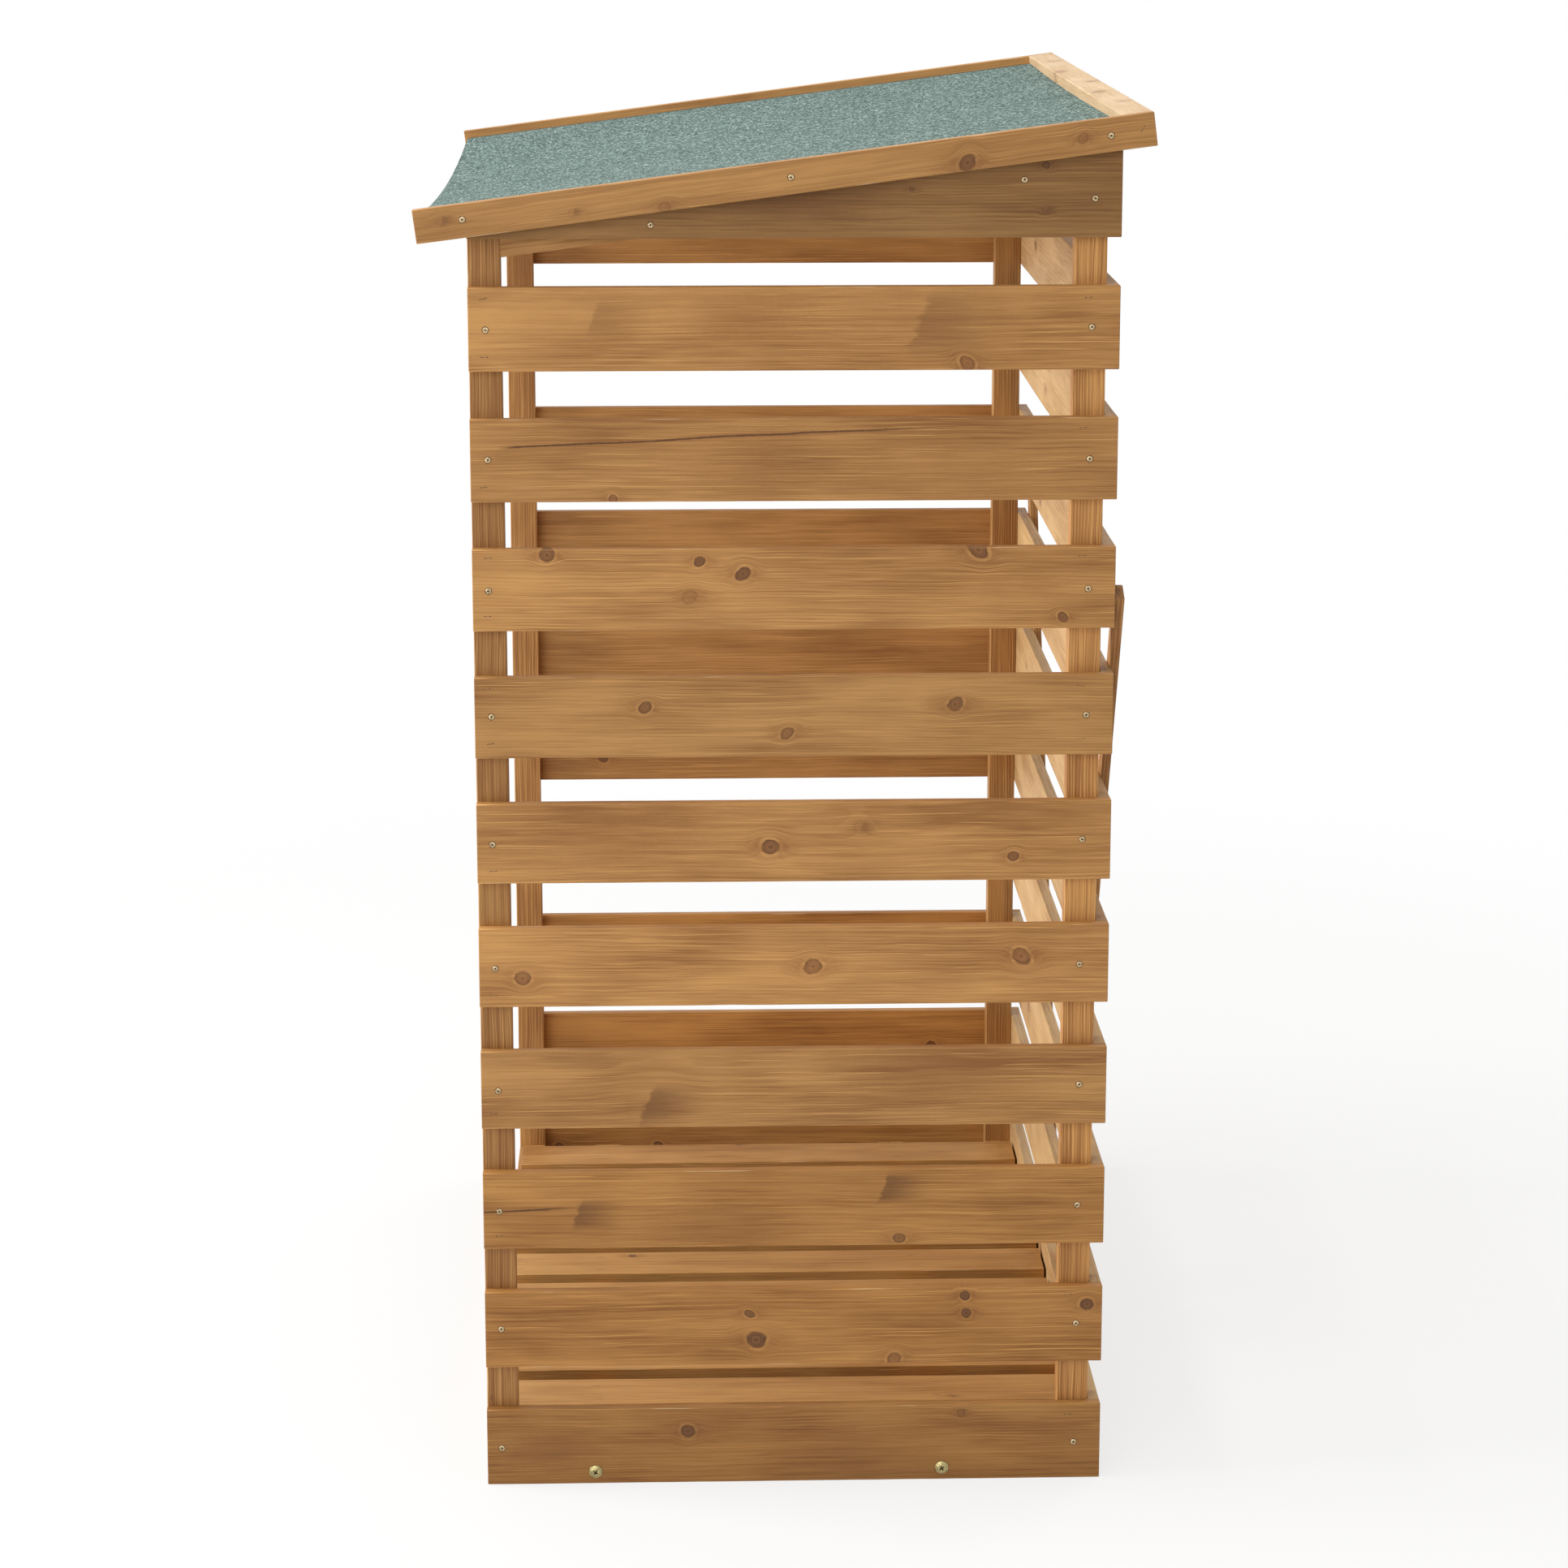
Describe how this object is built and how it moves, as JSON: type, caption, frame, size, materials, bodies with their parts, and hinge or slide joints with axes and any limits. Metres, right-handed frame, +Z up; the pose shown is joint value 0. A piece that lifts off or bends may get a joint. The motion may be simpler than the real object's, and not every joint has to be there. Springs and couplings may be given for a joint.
{
  "type": "log store",
  "caption": "Open-fronted timber log store with slatted sides and back, raised slatted floor and a single-pitch green mineral-felt roof, for stacking firewood to dry.",
  "frame": {"origin": "on the ground, under the middle of the overall box", "axes": "+Z up, -Y towards the open front, +X towards the right-hand side seen from the front"},
  "size_m": [1.248, 0.8738, 1.7198],
  "materials": {
    "side_timber": "golden-brown stained softwood, satin",
    "back_timber": "golden-brown stained softwood, satin",
    "frame_timber": "golden-brown stained softwood, satin",
    "floor_timber": "golden-brown stained softwood, satin",
    "roof_timber": "golden-brown stained softwood, satin",
    "green_felt": "bitumen roofing felt with green mineral granules, matte"
  },
  "bodies": {
    "root": {"right_slat_01": "side_timber", "right_slat_02": "side_timber", "right_slat_03": "side_timber", "right_slat_04": "side_timber", "right_slat_05": "side_timber", "right_slat_06": "side_timber", "right_slat_07": "side_timber", "right_slat_08": "side_timber", "right_slat_09": "side_timber", "right_slat_10": "side_timber", "left_slat_01": "side_timber", "left_slat_02": "side_timber", "left_slat_03": "side_timber", "left_slat_04": "side_timber", "left_slat_05": "side_timber", "left_slat_06": "side_timber", "left_slat_07": "side_timber", "left_slat_08": "side_timber", "left_slat_09": "side_timber", "left_slat_10": "side_timber", "gable_boards": "side_timber", "back_board_01": "back_timber", "back_board_02": "back_timber", "back_board_03": "back_timber", "back_board_04": "back_timber", "back_board_05": "back_timber", "back_board_06": "back_timber", "back_board_07": "back_timber", "back_board_08": "back_timber", "back_board_09": "back_timber", "back_board_10": "back_timber", "back_board_11": "back_timber", "right_front_post": "frame_timber", "right_back_post": "frame_timber", "left_front_post": "frame_timber", "left_back_post": "frame_timber", "rafters": "frame_timber", "front_rail": "frame_timber", "back_braces": "frame_timber", "floor_boards": "floor_timber", "floor_bearers": "floor_timber", "roof_deck": "roof_timber", "barge_boards": "roof_timber", "roof_rear_rail": "roof_timber", "roof_felt": "green_felt"}
  },
  "joints": []
}
